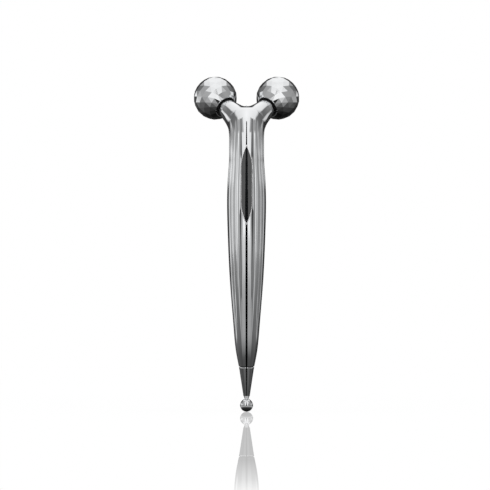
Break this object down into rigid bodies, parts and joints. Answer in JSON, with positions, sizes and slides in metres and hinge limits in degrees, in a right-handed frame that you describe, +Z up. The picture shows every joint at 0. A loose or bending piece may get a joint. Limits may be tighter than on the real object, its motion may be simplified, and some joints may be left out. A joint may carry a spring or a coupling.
{
  "type": "facial toning device",
  "caption": "Fluted chrome handle that bends back into a fork with a freely turning faceted ball on each arm, a dark window let into its front and a slim ball-ended tip.",
  "frame": {"origin": "lowest point of the tip ball, on the axis of the straight part of the handle", "axes": "+Z up the handle from the tip to the fork, -Y the side with the window, +X from the left roller to the right"},
  "size_m": [0.0472, 0.0433, 0.1499],
  "materials": {
    "chrome_skin": "polished",
    "chrome_ball": "polished",
    "chrome_tip": "polished",
    "bright_bezel": "polished",
    "smoky_window": "glossy",
    "solar_cell": "glossy",
    "black_rubber": "matte",
    "black_plastic": "matte",
    "bush_plastic": "satin",
    "steel": "satin",
    "cast_alloy": "cast",
    "brass": "satin",
    "lead_sheath": "satin"
  },
  "bodies": {
    "handle": {"front_shell": "chrome_skin", "back_shell": "chrome_skin", "window_lens": "smoky_window", "window_bezel": "bright_bezel", "window_gasket": "black_rubber", "solar_panel": "solar_cell", "panel_tray": "black_plastic", "tray_screws": "steel", "panel_lead": "lead_sheath", "contact_strip": "brass", "fork_core": "cast_alloy", "core_screws": "steel", "tip_socket": "brass", "tip_seal": "black_rubber", "tip_ring": "bright_bezel", "tip_cone": "chrome_tip", "tip_ball": "chrome_tip", "right_shaft": "steel", "left_shaft": "steel", "right_arm_collar": "black_rubber", "left_arm_collar": "black_rubber", "right_thrust_washer": "bush_plastic", "left_thrust_washer": "bush_plastic", "right_retaining_clip": "steel", "left_retaining_clip": "steel"},
    "right_roller": {"right_ball_skin": "chrome_ball", "right_ball_seal": "black_rubber", "right_ball_hub": "black_plastic", "right_bearing_bush": "bush_plastic"},
    "left_roller": {"left_ball_skin": "chrome_ball", "left_ball_seal": "black_rubber", "left_ball_hub": "black_plastic", "left_bearing_bush": "bush_plastic"}
  },
  "joints": [
    {"name": "right_roller_spin", "type": "hinge", "parent": "handle", "child": "right_roller", "pos_m": [0.01403, 0.02492, 0.14038], "axis": [0.5522, 0.6692, 0.4972], "continuous": true},
    {"name": "left_roller_spin", "type": "hinge", "parent": "handle", "child": "left_roller", "pos_m": [-0.01403, 0.02492, 0.14038], "axis": [-0.5522, 0.6692, 0.4972], "continuous": true}
  ]
}
